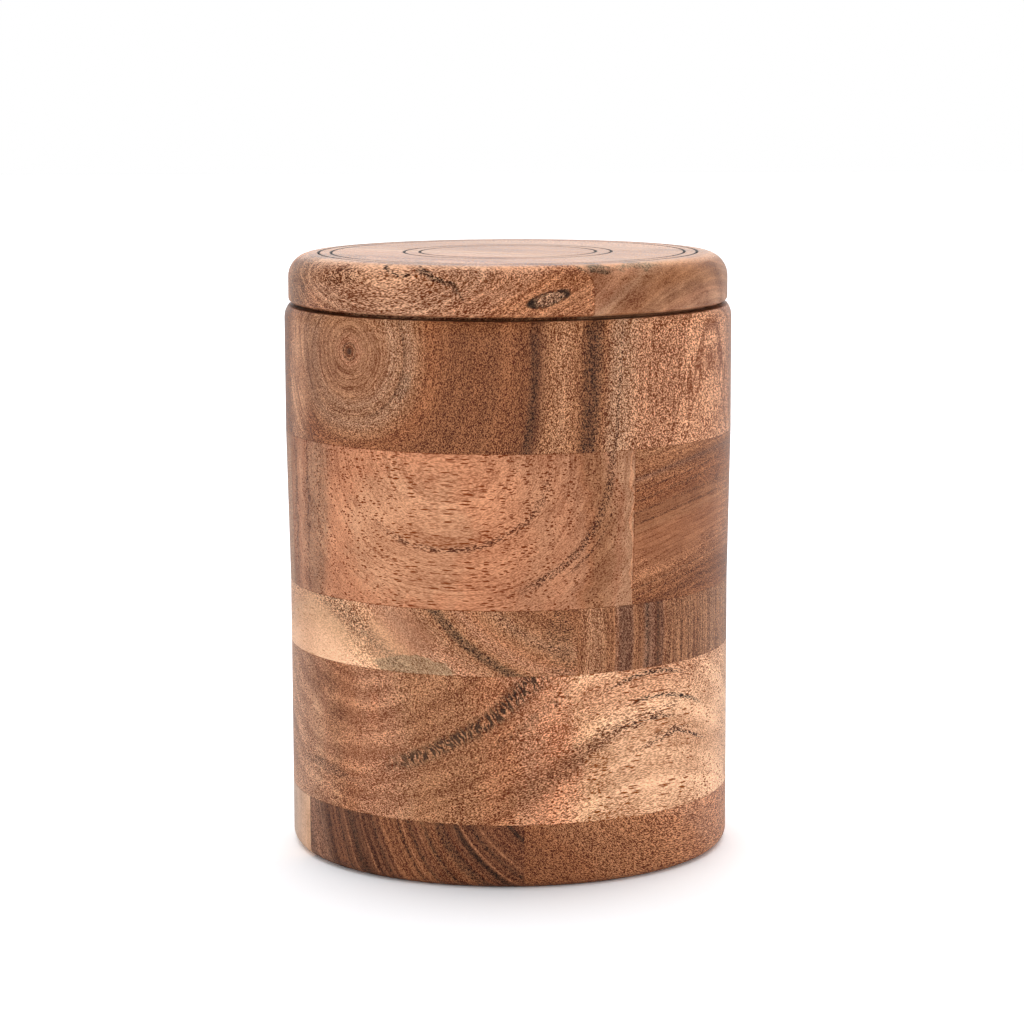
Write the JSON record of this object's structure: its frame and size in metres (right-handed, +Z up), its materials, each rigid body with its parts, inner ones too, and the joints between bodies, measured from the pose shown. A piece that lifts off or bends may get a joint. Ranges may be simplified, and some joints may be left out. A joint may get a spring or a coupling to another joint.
{
  "type": "wooden storage jar",
  "caption": "Round turned wooden storage jar, glued up from layered boards, with a lift-off plug lid and a soft seal ring.",
  "frame": {"origin": "middle of the flat base, on the turning axis", "axes": "+Z up along the turning axis, from the base to the lid; -Y is the side that the picture shows"},
  "size_m": [0.1142, 0.1142, 0.1524],
  "materials": {
    "rim_wood": "oiled, satin",
    "salmon_wood": "oiled, satin",
    "red_brown_wood": "oiled, satin",
    "pale_wood": "oiled, satin",
    "tan_wood": "oiled, satin",
    "honey_wood": "oiled, satin",
    "dark_wood": "oiled, satin",
    "orange_brown_wood": "oiled, satin",
    "lid_wood": "oiled, satin",
    "lid_brown_wood": "oiled, satin",
    "seal_silicone": "soft matte silicone"
  },
  "bodies": {
    "jar": {"rim_ring_main_board": "rim_wood", "rim_ring_back_strip": "red_brown_wood", "upper_ring_front_board": "salmon_wood", "upper_ring_left_board": "pale_wood", "upper_ring_right_board": "red_brown_wood", "upper_ring_back_board": "tan_wood", "middle_ring_left_board": "tan_wood", "middle_ring_right_board": "dark_wood", "lower_ring_front_board": "honey_wood", "lower_ring_back_strip": "orange_brown_wood", "floor_left_board": "pale_wood", "floor_middle_board": "dark_wood", "floor_right_board": "orange_brown_wood"},
    "seal": {"lid_seal_ring": "seal_silicone"},
    "lid": {"lid_front_board": "lid_wood", "lid_middle_board": "lid_brown_wood", "lid_back_board": "tan_wood"}
  },
  "joints": [
    {"name": "lid_lift", "type": "slide", "parent": "jar", "child": "seal", "axis": [0, 0, 1], "range_m": [0, 0.06]},
    {"name": "lid_turn", "type": "hinge", "parent": "seal", "child": "lid", "pos_m": [0, 0, 0.1402], "axis": [0, 0, 1], "continuous": true}
  ]
}
